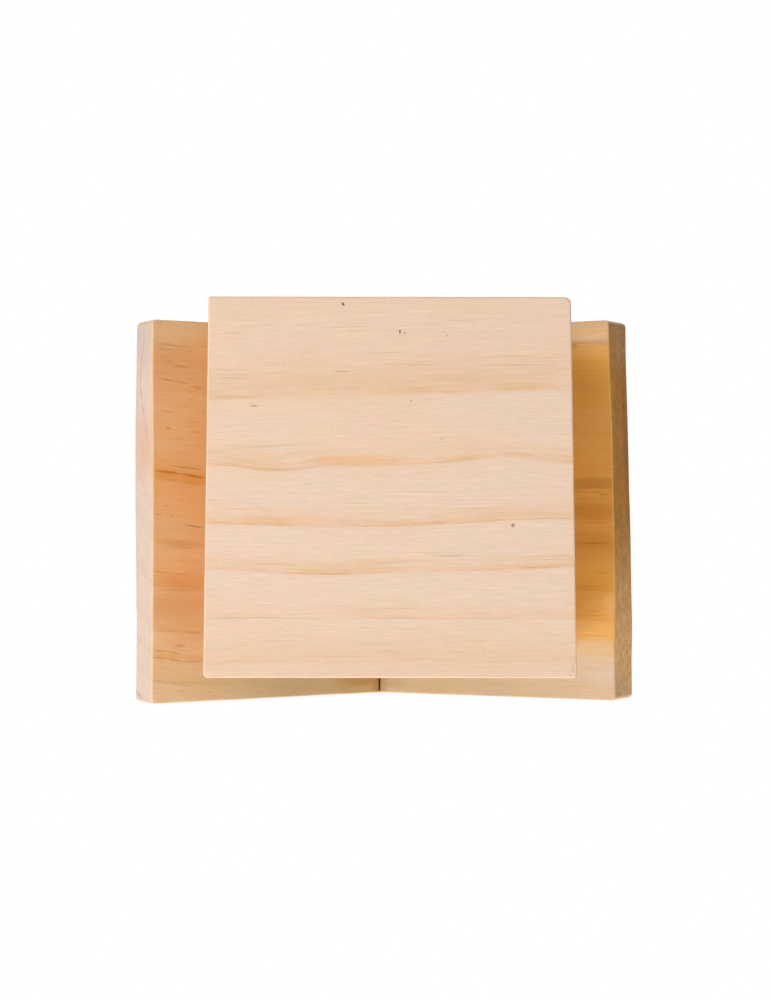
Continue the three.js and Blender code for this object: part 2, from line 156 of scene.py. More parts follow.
def pineMaterial(name, board, stand):  # stand sets the board's own frame into the house
    # Sanded, unfinished pine: pale soft earlywood that warms into tan latewood and stops there
    # at a broken line, fine hairs along the grain, and a dull, faintly silky surface.
    look = {**plainPine, **board}
    material, add = newMaterial(name)
    coords = add("TexCoord", output=None).outputs
    place = add("Mapping", {
        "Vector": coords["Object"], "Location": stand.to_translation(),
        "Rotation": stand.to_euler(),
    }, vector_type="TEXTURE")

    # the grain bends and bulges: the place is moved across the grain before the rings are read
    bends = add("VectorMath", [place, pineShared["swayScale"]], operation="MULTIPLY")
    shift = add("TexNoise", {"Vector": bends, "W": look["seed"], "Scale": 1, "Detail": 2},
                noise_dimensions="4D")
    sway = look["sway"] * mm
    shift = add("Math", [shift, sway, -sway / 2], operation="MULTIPLY_ADD")
    for x, y, halfLength, halfWidth, move in look["waves"]:
        away = add("Mapping", {
            "Vector": place, "Location": (x * mm, y * mm, 0),
            "Scale": (halfLength * mm, halfWidth * mm, 1),
        }, vector_type="TEXTURE")
        square = add("VectorMath", [away, away], "Value", operation="DOT_PRODUCT")
        bell = add("Math", [pineShared["bell"], square], operation="POWER")
        shift = add("Math", [bell, move * mm, shift], operation="MULTIPLY_ADD")
    axes = add("SeparateXYZ", [place], None).outputs
    drifted = add("Math", [axes["X"], -look["drift"], axes["Y"]], operation="MULTIPLY_ADD")
    across = add("Math", [drifted, shift], operation="SUBTRACT")
    section = add("CombineXYZ", {"Y": across, "Z": axes["Z"]})
    pith = (0, *(place * mm for place in look["pith"]))
    fromPith = add("VectorMath", [section, pith], operation="SUBTRACT")
    radius = add("VectorMath", [fromPith], "Value", operation="LENGTH")

    # layers of grain, each as long and as wide as pineShared gives it, all along the rings
    along = add("CombineXYZ", [axes["X"], across, axes["Z"]])
    grain = {}
    for k, (layer, (width, length, detail)) in enumerate(pineShared["grain"].items()):
        scales = Vector((1 / length, 1 / width, 1 / width)) / mm
        scaled = add("VectorMath", [along, scales], operation="MULTIPLY")
        grain[layer] = add("TexNoise", {
            "Vector": scaled, "W": look["seed"] + pineShared["seedStep"] * k, "Scale": 1,
            "Detail": detail, "Roughness": pineShared["grainRoughness"],
        }, noise_dimensions="4D")
    for layer, amount in pineShared["frayLayers"].items():
        radius = add("Math", [grain[layer], look["fray"] * amount * mm, radius],
                     operation="MULTIPLY_ADD")

    # the radius read as an age in years, whose fraction says where in a year the wood grew
    edges, count = look["rings"], len(look["rings"]) - 1
    low, high = edges[0], edges[-1]
    frayed = look["fray"] * sum(pineShared["frayLayers"].values()) / 2
    inSpan = add("MapRange", [radius, (low + frayed) * mm, (high + frayed) * mm])
    age = setStops(add("ValToRGB", [inSpan], None),
                   [((edge - low) / (high - low), k / count) for k, edge in enumerate(edges)])
    years = add("Math", [age, count], operation="MULTIPLY")
    season = add("Math", [years], operation="FRACT")
    profile = setStops(add("ValToRGB", [season], None), pineShared["ringProfile"])
    strength = setStops(add("ValToRGB", [age], None),
                        [((k + pineShared["yearStart"]) / count if k else 0, share)
                         for k, share in enumerate(look["strengths"])], "CONSTANT")
    late = add("Math", [profile, strength], operation="MULTIPLY")
    for layer, span in pineShared["latewood"].items():
        share = add("MapRange", [grain[layer], *span])
        late = add("Math", [late, share], operation="MULTIPLY")
    woods = [setStops(add("ValToRGB", [late], None),
                      zip(pineShared["woodStops"], look[kind]))
             for kind in ("heartwood", "sapwood") if kind in look]
    color = woods[0]
    if len(woods) > 1:  # honey-coloured heartwood across part of the board, paler sapwood beside; on the roof boards this is partly painted shade and bounce light
        share = 1
        for start, end in look["heart"]:
            side = add("MapRange", [across, min(start, end) * mm, max(start, end) * mm,
                                    start > end, start < end],
                       interpolation_type="SMOOTHSTEP")
            share = add("Math", [share, side], operation="MULTIPLY")
        color = add("Mix", {0: share, 6: woods[1], 7: color}, 2, data_type="RGBA")

    # an upper side that has paled in the light, broad patches of warmer wood, small ones of
    # pinker wood, and resin dashes
    dashes = (look["dashFrom"], look["dashFrom"] + pineShared["dashEdge"])
    for value, span, amount, tint, fade in (
            (axes["Z"], pineShared["paledDepth"], look["paled"], look["paleWood"], "LINEAR"),
            (grain["patch"], pineShared["patchEdge"], look["patch"], look["warm"], "SMOOTHSTEP"),
            (grain["blush"], pineShared["blushEdge"], look["blush"], look["pink"], "SMOOTHSTEP"),
            (grain["dash"], dashes, look["dash"], look["dashColor"], "SMOOTHSTEP")):
        if amount:
            share = add("MapRange", [value, *span, 0, amount], interpolation_type=fade)
            color = add("Mix", {0: share, 6: color, 7: tint}, 2, data_type="RGBA")
    color = pineMarks(add, place, color, look["marks"], False)

    # end grain, where the cut is square to the fibres
    facing = add("VectorMath", [coords["Normal"], stand.col[0].to_3d()], "Value",
                 operation="DOT_PRODUCT")
    facing = add("Math", [facing], operation="ABSOLUTE")
    endShare = add("MapRange", [facing, *pineShared["endFacing"]])
    ends = add("Mix", {0: late, 6: look["end"], 7: look["endLate"]}, 2, data_type="RGBA")
    ends = pineMarks(add, place, ends, look["endMarks"], True)

    # hairs on the faces and fuzz on the ends, a little darker and lighter than what lies between
    specks = look["hair"] * pineShared["speckShare"]
    faceLayers = {"fibre": look["streak"], "hair": look["hair"], "speck": specks}
    endLayers = {"fuzz": look["endFuzz"], "mottle": look["endMottle"]}
    varied = []
    for wood, layers in ((color, faceLayers), (ends, endLayers)):
        for layer, amount in layers.items():
            value = add("MapRange", [grain[layer], *pineShared["spread"], 1 - amount, 1 + amount])
            wood = add("VectorMath", {0: wood, "Scale": value}, operation="SCALE")
        varied.append(wood)
    color = add("Mix", {0: endShare, 6: varied[0], 7: varied[1]}, 2, data_type="RGBA")

    # rubbed arrises, polished a little warmer than the faces, and partly a painted highlight along
    # the edges
    arris = add("Attribute", output="Fac", attribute_name="arris")
    arris = add("Math", [arris, look["arrisWearAndSheen"]], operation="MULTIPLY")
    color = add("Mix", {0: arris, 6: color, 7: look["arrisWearAndSheenColor"]}, 2, data_type="RGBA")

    height = add("Math", [late, pineShared["lateSinks"], grain["fibre"]], operation="MULTIPLY_ADD")
    bump = add("Bump", {"Height": height, "Strength": pineShared["bumpStrength"],
                        "Distance": pineShared["bumpDepth"]})
    roughness = add("MapRange", [late, 0, 1, *pineShared["roughness"]])
    shader = add("BsdfPrincipled", {
        "Base Color": color, "Roughness": roughness, "IOR": 1.45, "Specular IOR Level": 0.3,
        "Normal": bump})
    add("OutputMaterial", [shader], None)
    return material


# Meshes: outlines with rounded corners, drawn up into boards whose arrises are sanded by hand

boardShared = {
    "cornerSteps": 8, "arrisSteps": 4, "edgeStep": 4,
    "arrisWander": 0.35, "wanderLength": 17,  # share of the arris, and how soon it changes
    "sawnFrom": 0.8,  # share of a board's length past which the sawn end's errors count
}


def roundedOutline(corners, radii, edgeStep=None):  # corners run anticlockwise
    outline = []
    for i, corner in enumerate(corners):
        toBefore = (corners[i - 1] - corner).normalized()
        toAfter = (corners[(i + 1) % len(corners)] - corner).normalized()
        if radii[i] == 0:
            outline.append(corner)
            continue
        half = toBefore.angle(toAfter) / 2
        reach = radii[i] / math.tan(half)
        centre = corner + (toBefore + toAfter).normalized() * (radii[i] / math.sin(half))
        start, end = corner + toBefore * reach - centre, corner + toAfter * reach - centre
        outline += [centre + start.lerp(end, k / boardShared["cornerSteps"]).normalized() * radii[i]
                    for k in range(boardShared["cornerSteps"] + 1)]
    if edgeStep is None:
        return outline
    dense = []
    for i, point in enumerate(outline):
        after = outline[(i + 1) % len(outline)]
        steps = max(1, round((after - point).length / edgeStep))
        dense.extend(point.lerp(after, k / steps) for k in range(steps))
    return dense


def loftRows(mesh, rows, arrisShares=None):  # closed rows of points, joined in turn and capped
    arris = mesh.verts.layers.float.new("arris") if arrisShares else None
    grid = [[mesh.verts.new(p) for p in row] for row in rows]
    if arrisShares:
        for row, amount in zip(grid, arrisShares):
            for corner in row:
                corner[arris] = amount
    for lower, upper in zip(grid, grid[1:]):
        for i in range(len(lower)):
            j = (i + 1) % len(lower)
            mesh.faces.new((lower[i], lower[j], upper[j], upper[i]))
    mesh.faces.new(list(reversed(grid[0])))
    mesh.faces.new(grid[-1])


def sawError(sawn, y, rise):  # how far out the sawn end stands, from its lower and upper arris
    for (before, *starts), (after, *ends) in zip(sawn, sawn[1:]):
        if y >= after or after == sawn[-1][0]:
            share = min(max((before - y) / (before - after), 0), 1)
            lower, upper = (a + (b - a) * share for a, b in zip(starts, ends))
            return lower + (upper - lower) * rise


def boardMesh(corners, radii, thickness, arris, seed, sawn=None, hand=1):  # lower face at 0
    outline = roundedOutline([Vector(c) for c in corners], radii, boardShared["edgeStep"])
    sawnFrom = max(point.x for point in outline) * boardShared["sawnFrom"]
    rows, arrisShares = [], []
    for upper in (False, True):
        steps = range(boardShared["arrisSteps"] + 1)
        for k in (reversed(steps) if upper else steps):
            turn = math.pi / 2 * k / boardShared["arrisSteps"]
            row = []
            for i, point in enumerate(outline):
                run = (outline[(i + 1) % len(outline)] - outline[i - 1]).normalized()
                spot = (c / boardShared["wanderLength"] for c in point)
                wander = noise.noise(Vector((*spot, seed + 5 * upper)))
                size = arris * (1 + boardShared["arrisWander"] * wander)
                flat = point + Vector((-run.y, run.x)) * size * (1 - math.sin(turn))
                rise = size * (1 - math.cos(turn))
                height = thickness - rise if upper else rise
                if sawn and flat.x > sawnFrom:
                    flat.x += sawError(sawn, hand * flat.y, height / thickness)
                row.append(Vector((flat.x, flat.y, height)) * mm)
            rows.append(row)
            arrisShares.append(math.sin(2 * turn))
    mesh = bmesh.new()
    loftRows(mesh, rows, arrisShares)
    return mesh


def cutPlane(mesh, point, outward):  # takes off what lies past a plane and closes the cut
    everything = mesh.verts[:] + mesh.edges[:] + mesh.faces[:]
    cut = bmesh.ops.bisect_plane(mesh, geom=everything, plane_co=Vector(point) * mm,
                                 plane_no=outward, clear_outer=True)
    rim = [e for e in cut["geom_cut"] if isinstance(e, bmesh.types.BMEdge)]
    bmesh.ops.holes_fill(mesh, edges=rim)


def turnedMesh(mesh, profile, matrix, facets=40):  # profile of (radius, height) in mm
    rings = []
    for radius, height in profile:
        turns = [2 * math.pi * k / facets for k in range(facets)] if radius else [0]
        r, z = radius * mm, height * mm
        ring = [Vector((r * math.cos(a), r * math.sin(a), z)) for a in turns]
        rings.append([mesh.verts.new(matrix @ point) for point in ring])
    for lower, upper in zip(rings, rings[1:]):
        for k in range(facets):
            j = (k + 1) % facets
            corners = [lower[k % len(lower)], lower[j % len(lower)],
                       upper[j % len(upper)], upper[k % len(upper)]]
            mesh.faces.new(list(dict.fromkeys(corners)))  # three corners where a ring is a point


def finished(mesh, name):
    bmesh.ops.recalc_face_normals(mesh, faces=mesh.faces)
    data = bpy.data.meshes.new(name)
    mesh.to_mesh(data)
    mesh.free()
    return data


def carved(data, cutter):  # one mesh less another
    block, tool = bpy.data.objects.new("block", data), bpy.data.objects.new("tool", cutter)
    for thing in (block, tool):
        bpy.context.scene.collection.objects.link(thing)
    cut = block.modifiers.new("cut", "BOOLEAN")
    cut.operation, cut.solver, cut.object = "DIFFERENCE", "EXACT", tool
    graph = bpy.context.evaluated_depsgraph_get()
    result = bpy.data.meshes.new_from_object(block.evaluated_get(graph))
    for thing in (block, tool):
        bpy.data.objects.remove(thing)
    return result


def addPiece(name, data, materials, node, matrix=None, sharpAngle=35):
    data.materials.clear()
    for material in materials:
        data.materials.append(material)
    piece = bpy.data.objects.new(name, data)
    if matrix is not None:
        piece.matrix_world = matrix
    bpy.context.scene.collection.objects.link(piece)
    data.shade_smooth()
    data.set_sharp_from_angle(angle=math.radians(sharpAngle))
    evened = piece.modifiers.new("even_normals", "WEIGHTED_NORMAL")  # keeps flat faces flat
    evened.keep_sharp = True
    bpy.context.view_layer.update()
    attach(piece, "root")
    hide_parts(node)


def frameMatrix(x, y, z, origin):  # a board's own axes and origin
    return Matrix.Translation(origin) @ Matrix((x, y, z)).transposed().to_4x4()


# Screws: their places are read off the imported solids

boardScrew = {"radius": 1.75, "length": 35, "headRadius": 3.5, "headHeight": 2.1, "tip": 4,
              "threadPitch": 1.8, "threadDepth": 0.45,
              "recessWidth": 0.85, "recessReach": 1.9, "recessDepth": 1.7}
hangerScrew = {"radius": 1.4, "length": 10, "headRadius": 2.8, "headHeight": 1.2, "tip": 2.4,
               "threadPitch": 1.3, "threadDepth": 0.35,
               "recessWidth": 0.65, "recessReach": 1.45, "recessDepth": 1.0}
screwShared = {
    "clearance": 0.28, "cutterTop": 2, "facets": 32, "threadEnd": 2.4, "neck": 1.12,
    "rim": [(0.12, 0.3), (0, 0.16), (0.05, 0.03), (0.22, 0)],  # in from the head's edge, and down
    "recessFoot": (0.3, 0.7), "recessMouth": (1, 1, -0.05), "recessAbove": (1.06, 1, 0.5),
}


def screwTop(node, outward):  # stands on the middle of the head's top
    corners = [v.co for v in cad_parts[node].data.vertices]
    middle = sum(corners, Vector()) / len(corners)
    top = middle + outward * (max(c.dot(outward) for c in corners) - middle.dot(outward))
    return Matrix.Translation(top) @ outward.to_track_quat("Z", "Y").to_matrix().to_4x4()


screwPlaces = {}  # name: (the way its head faces, the side it is on, its kind)
for side, sideName in sideNames.items():
    for spot in ("front", "back", "panel"):
        screwPlaces[f"roof_screw_{sideName}_{spot}"] = (out[side], side, boardScrew)
    for level in ("low", "high"):
        screwPlaces[f"wall_screw_{sideName}_{level}"] = (Vector((side, 0, 0)), side, boardScrew)
for level in ("low", "high"):
    screwPlaces[f"hanger_screw_{level}"] = (Vector((0, 1, 0)), 0, hangerScrew)
screwTops = {node: (screwTop(node, outward), side, screw)
             for node, (outward, side, screw) in screwPlaces.items()}


def screwHoles(names, into):  # cutters for these screws, in the frame of the board they go into
    mesh = bmesh.new()
    ease = screwShared["clearance"]
    for node in names:
        top, _, screw = screwTops[node]
        shank, head = screw["radius"] + ease, screw["headRadius"] + ease
        foot, above = -screw["length"] - ease, screwShared["cutterTop"]
        turnedMesh(mesh, [(0, foot), (shank, foot), (shank, -screw["headHeight"] - ease),
                          (head, -ease / 2), (head, above), (0, above)], into.inverted() @ top)
    return finished(mesh, "screw_holes")


def addBoard(name, data, matrix, screws, look, node):  # bored for its screws and set in place
    data = carved(data, screwHoles(screws, matrix))
    data.transform(matrix)
    addPiece(name, data, [pineMaterial(f"sanded_{name}", look, matrix)], node)


def screwMesh(name, screw):
    radius, root = screw["radius"], screw["radius"] - screw["threadDepth"]
    profile = [(0, -screw["length"])]
    height = screw["tip"] - screw["length"]
    while height < -screw["headHeight"] * screwShared["threadEnd"]:  # rings stand in for threads
        profile += [(root, height), (radius, height + screw["threadPitch"] / 2)]
        height += screw["threadPitch"]
    profile += [(root, height), (root * screwShared["neck"], -screw["headHeight"])]
    profile += [(screw["headRadius"] - inset, -depth) for inset, depth in screwShared["rim"]]
    mesh = bmesh.new()
    turnedMesh(mesh, profile + [(0, 0)], Matrix.Identity(4), screwShared["facets"])
    body = finished(mesh, name)
    wide, reach, depth = screw["recessWidth"] / 2, screw["recessReach"], screw["recessDepth"]
    levels = ((*screwShared["recessFoot"], -depth), screwShared["recessMouth"],
              screwShared["recessAbove"])  # shares of the reach and the width, and the height
    for turn in (False, True):  # a cross recess, one bar at a time, narrower towards its foot
        rows = []
        for along, over, level in levels:
            x, y = reach * along, wide * over
            row = [(-x, -y), (x, -y), (x, y), (-x, y)]
            rows.append([Vector((-v, u, level) if turn else (u, v, level)) * mm for u, v in row])
        recess = bmesh.new()
        loftRows(recess, rows)
        body = carved(body, finished(recess, "recess"))
    return body


# Zinc-plated steel, pressed or turned and then plated: a cool grey metal with a soft cloudy shine

zinc = {"dull": "a9adb3", "bright": "c9c9c6", "cloudSize": 3 * mm, "cloudEdge": (0.3, 0.7),
        "roughness": (0.26, 0.42), "scratchScale": (4000, 4000, 300)}  # scratches 0.25 by 3

zincSteel, add = newMaterial("zinc_plated_steel")
place = add("TexCoord", output="Object")
cloud = add("TexNoise", {"Vector": place, "Scale": 1 / zinc["cloudSize"], "Detail": 4,
                         "Roughness": 0.6})
color = add("Mix", {0: cloud, 6: zinc["dull"], 7: zinc["bright"]}, 2, data_type="RGBA")
rough = add("MapRange", [cloud, *zinc["cloudEdge"], *zinc["roughness"]])
scaled = add("VectorMath", [place, zinc["scratchScale"]], operation="MULTIPLY")
scratch = add("TexNoise", {"Vector": scaled, "Scale": 1, "Detail": 1})
bump = add("Bump", {"Height": scratch, "Strength": 0.08, "Distance": 0.05 * mm})
shader = add("BsdfPrincipled", {"Base Color": color, "Metallic": 1, "Roughness": rough,
                                "Normal": bump})
add("OutputMaterial", [shader], None)

for screw, kind in ((boardScrew, "board_screw"), (hangerScrew, "hanger_screw")):
    data = screwMesh(kind, screw)
    for node, (top, _, used) in screwTops.items():
        if used is screw:
            addPiece(f"zinc_{node}", data, [zincSteel], node, top, 30)
print("screws made")


# Floor board. Its waves are (x, y, half length, half width, how far the rings move over), and
# all marks are (x, y, half length, half width, turn, amount), on ends (y, z, ...).

floorBoard = {
    "frontWidth": 153.2, "backWidth": 148.8, "arris": 0.85, "frontSkew": 0.6,
    "radii": [1.5, 1.8, 1.0, 2.8],  # front left, front right, back right, back left, from above
    "seed": 1.7, "pith": (68, 70), "sway": 1.6, "fray": 0.8,
    "rings": [58, 76.4, 91.55, 108.7, 124.3, 140.7, 156.2, 172],
    "strengths": [0.8, 1.0, 0.85, 0.9, 0.55, 0.65, 0.7],
    "waves": [(-74, 46, 60, 22, 2.6), (74, 42, 42, 18, -2.2), (46, 7.5, 17, 8, -2.8),
              (-46, 10, 20, 9, 3), (18, -16, 40, 8, -1.3), (-70, -13, 40, 9, 1.6),
              (24, -35, 20, 7, -1.3), (80, -33, 22, 9, 1.0), (-82, -33, 26, 10, 1.8),
              (30, -54, 16, 7, 1.1), (78, -72, 14, 8, -2.0)],
    "marks": {
        "4b3d2a": [(19.3, 74.9, 0.9, 0.55, 59, 0.92), (-4, 63.6, 0.42, 0.95, 0, 0.95)],
        "6b5436": [(-6, 63.1, 0.6, 0.45, 0, 0.6)],
        "8a6c4c": [(-1.5, 65.2, 0.3, 0.3, 0, 0.45), (-23.3, 62, 0.35, 0.5, 30, 0.5),
            (-50.3, -15.8, 0.8, 1, 30, 0.75), (19.8, 47.3, 3.6, 0.25, 2, 0.6),
            (-75, -74.5, 2.2, 0.3, 84, 0.5), (-73.9, -77.3, 0.9, 0.3, 10, 0.45)],
        "e6be96": [(10, 43, 80, 6, 0, 0.4), (-40, 47, 40, 4, 1, 0.3), (20, -72, 130, 16, 0, 0.3)],
        "ecb580": [(10, 10.6, 26, 2.6, 1, 0.5), (40, -13.6, 30, 2, 0, 0.3)],
        "c98d4c": [(55.8, 33.1, 1.7, 0.6, 4, 0.6)],
        "a98862": [(-8.5, 35.2, 0.5, 0.45, 0, 0.5), (-25, -28.3, 8, 0.25, 0, 0.5),
            (63.5, 63, 5.5, 0.2, -2, 0.3), (-50, 50, 20, 0.22, 0, 0.42),
            (-64, 52.9, 6, 0.2, 0, 0.35), (64, 48, 10, 0.2, 0, 0.35), (66, 46.2, 7, 0.18, 0, 0.3),
            (65, 44.6, 8, 0.2, 0, 0.35), (2, 55, 10, 0.2, -2, 0.36), (66, -53.7, 9, 0.2, 0, 0.35),
            (-35.3, -63.3, 5, 0.2, 0, 0.35)],
        "c4a07a": [(-21.2, 19.6, 0.8, 0.7, 0, 0.35), (-10, -1.9, 16, 0.2, 0, 0.35),
            (-30, 68.1, 11, 0.2, 2, 0.36), (33, 56, 8, 0.2, -2, 0.25), (-35, -51.4, 7, 0.2, 0, 0.3),
            (56, -6.6, 17, 0.2, 0, 0.36), (62, -8.8, 11, 0.2, 1, 0.36), (14, -6.6, 7, 0.2, 0, 0.36),
            (46, -53.6, 27, 0.22, 1, 0.5), (48, -63, 13, 0.18, 0, 0.3), (1, -67.4, 6, 0.2, 0, 0.4),
            (19, -69.5, 8, 0.2, 0, 0.3), (-50, -71.5, 16, 0.2, 0, 0.3)],
        "d49c72": [(50, 16.7, 22, 0.24, -3.5, 0.45), (17.3, 65.6, 13, 0.24, -2, 0.4),
            (-9, 50.2, 14, 0.25, 0, 0.4), (48, -31.6, 13, 0.22, 1, 0.4),
            (0, -31.2, 12, 0.22, -2, 0.4), (-66, -29.9, 9, 0.22, 0, 0.4),
            (-18, -27, 16, 0.22, 1, 0.36), (0, -49.8, 17, 0.22, 0, 0.4),
            (-28, -54, 46, 0.2, 0, 0.36)],
    },
    "heartwood": ("ecd1b8", "e9bf95", "d8a978"), "warm": "eeccaa", "patch": 0.45,
    "pink": "f0cdb8", "blush": 0.5, "hair": 0.05, "dash": 0.1, "dashColor": "c39c74",
    "arrisWearAndSheen": 0.35, "arrisWearAndSheenColor": "f1cca2", "end": "dcb894", "endLate": "c49468", "endFuzz": 0.05,
}
frontHalf, backHalf = floorBoard["frontWidth"] / 2, floorBoard["backWidth"] / 2
mesh = boardMesh([(-frontHalf, -halfDepth - floorBoard["frontSkew"]), (frontHalf, -halfDepth),
                  (backHalf, halfDepth), (-backHalf, halfDepth)],
                 floorBoard["radii"], house["floorTop"], floorBoard["arris"], 3)
pine = pineMaterial("sanded_pine_floor_board", floorBoard, Matrix.Identity(4))
addPiece("pine_floor_board", finished(mesh, "pine_floor_board"), [pine], "floor_board")
print("floor board made")


# Roof boards: x runs down the slope from the ridge, and the lower face is the underside. The
# sawn end is (y, error at its lower arris, error at its upper one), from back to front.

rightRoof = {
    "run": 104.85, "eaveSkew": 0, "frontSkew": 0, "arris": 0.9, "radius": 2.2,
    "sawn": [(78, 0.1, -0.95), (60, 0.1, -0.56), (32, 0, -0.08), (5, -0.15, 0.1), (-10, -0.1, 0),
             (-36, 0, -0.3), (-60, 0.15, -0.65), (-80, 0.3, -0.6), (-98, 0.4, -0.2)],
    "seed": 5.2, "pith": (44.5, -44.5), "drift": 0.09,
    "rings": [45, 66.5, 91, 108.8, 126.7, 138.5, 149.4, 162, 176],
    "strengths": [0.5, 0.35, 0.4, 0.3, 0.6, 0.5, 0.5, 0.5],
    # the heartwood band's front edge lies at the walls' front plane: its deeper orange under the
    # eave is partly painted shade and warm bounce light, and the paler sapwood in front is partly
    # painted light
    "heart": ((-77.5, -73.5), (60.5, 53)),
    "marks": {
        "b27038": [(110.9, 66.4, 8.5, 0.43, 6, 0.33), (114.2, 64.5, 5.3, 0.36, -1, 0.33),
            (112.4, 59.1, 1.4, 0.43, 1, 0.39), (106.1, 56.9, 4.8, 0.72, 1, 0.37),
            (116.5, 53.4, 3.1, 0.33, 0, 0.28), (113.9, 50.6, 4.7, 0.46, 5, 0.43),
            (106.4, 49.7, 3.7, 0.46, 7, 0.43), (98.2, 47.6, 3.7, 0.66, 5, 0.39),
            (102.5, 45.9, 5.3, 0.49, 4, 0.23), (101.3, 41.7, 2.7, 0.43, 8, 0.23),
            (113.2, 36.1, 3.8, 0.36, 2, 0.33), (100.2, 31.7, 3.7, 0.43, 7, 0.25),
            (98.9, 27, 3.4, 0.56, 6, 0.35), (108.9, 23.5, 6.5, 0.33, 3, 0.22),
            (98.2, 20.5, 3.7, 0.36, 6, 0.22), (118, -11, 2.6, 0.43, 7, 0.37),
            (116.5, -37.5, 5.3, 0.43, 8, 0.3), (106.9, -38.6, 5.3, 0.43, 5, 0.3),
            (114.2, -64.4, 7.8, 0.43, 4, 0.39), (101, -65.3, 6.8, 0.43, 5, 0.39),
            (99.7, -72.4, 3.2, 0.36, 6, 0.28), (117.7, -73.3, 3.9, 0.49, 5, 0.43),
            (110.4, -74.4, 4.3, 0.49, 13, 0.43), (117.2, -87.4, 4.5, 0.43, 8, 0.28),
            (107.1, -89.1, 6.8, 0.43, 10, 0.28)],
        "b4682c": [(112.9, 28.4, 1.9, 0.62, 2, 0.43), (112.7, 4.8, 6.2, 0.43, 7, 0.31),
            (101, 3.3, 6.8, 0.43, 8, 0.31), (111.6, -11.9, 0.8, 0.49, 6, 0.39),
            (107.5, -24.6, 13, 2.63, 2, 0.17), (106.8, -26.3, 7.5, 0.36, 4, 0.23),
            (107.6, -45.8, 11.6, 0.39, 2, 0.28), (117.7, -76.6, 3.9, 0.53, 6, 0.43),
            (109.7, -77.9, 5.1, 0.53, 11, 0.43), (100, -78.9, 5.6, 0.53, 1, 0.43)],
        "dfa050": [(118.7, 11.2, 2.4, 1.12, 7, 0.45), (114.2, 7.1, 7.8, 3.12, 8, 0.7),
            (100.5, 5, 7.4, 3.12, 9, 0.7), (114.2, -75.7, 7.8, 1.64, 8, 0.4),
            (101, -77.2, 6.8, 1.64, 4, 0.4)],
        "a65c14": [(112.9, 8.3, 7.5, 0.66, 6, 0.62), (100, 6.6, 6.8, 0.66, 9, 0.62)],
        "8f6450": [(103.8, 10.5, 9, 0.36, 6, 0.5)], "9c6040": [(100, -16.6, 5.4, 0.49, 8, 0.48)],
        # d98a40, d9965a, e4a25a and f2d4a6 are broad bands along the strip under the eave, partly
        # grain and partly light: the orange ones are painted shade and warm bounce light from the
        # wall, and the pale one at the back is painted light reaching in behind the wall
        "d98a40": [(104, -42.5, 14, 5.4, 2, 0.36)], "a85c3c": [(107.1, -71.3, 2.9, 0.59, 7, 0.5)],
        "d9965a": [(107.4, -53.1, 18.8, 6.86, 1, 0.45), (107.4, -70, 18.8, 6, 1, 0.25)],
        # c6b188, c49a50 and c4934f darken the front overhang below the floor's edge, most towards
        # the ridge corner: painted shade
        "f2d4a6": [(107.4, 73.7, 18.8, 5.71, -1, 0.5)], "c6b188": [(46, -89, 66, 15, 0, 0.62)],
        "c49a50": [(14, -89, 15, 12, 0, 0.4)],
        "c4934f": [(0, -95, 5, 9, 0, 0.8), (8, -91.5, 14, 2.6, 0, 0.7)],
        "e4a25a": [(107.4, -38, 18.8, 8, 1, 0.2)],
    },
    "heartwood": ("e6be90", "d69c5e", "a8642c"), "sapwood": ("e9cba6", "dcae78", "b07c4e"),
    "warm": "e5ab68", "pink": "e8b37c", "dashFrom": 0.66, "dashColor": "b27c4a",
    "arrisWearAndSheenColor": "efcda8", "paled": 0.5, "end": "d9c2b0", "endLate": "cba78e",
    "endMarks": {
        "b4867a": [(67.6, 10, 4.4, 0.49, -16, 0.8), (60.4, 12.1, 3.9, 0.49, -15, 0.8),
            (52.8, 13.2, 4.6, 0.49, -3, 0.8), (44.9, 12.3, 4.3, 0.49, 17, 0.8),
            (37.2, 10, 4.5, 0.49, 15, 0.8), (29.3, 7.3, 4.7, 0.49, 22, 0.7),
            (21.4, 4.4, 4.6, 0.49, 19, 0.6), (4.8, 10.9, 3.7, 0.69, 34, 0.3),
            (-1.2, 6.8, 4.3, 0.69, 34, 0.3)],
        "d8a888": [(19, 9.5, 18, 14, 0, 0.5)], "b8a498": [(67, 9.5, 15, 14, 0, 0.3)],
        "efc0a0": [(29.8, 3, 41.3, 1.43, 0, 0.3)], "b8b0b8": [(-11.3, 16.1, 76.8, 0.63, 0, 0.28)],
        "a08878": [(-94.7, 13.3, 4.4, 0.69, 64, 0.6)],
    },
}
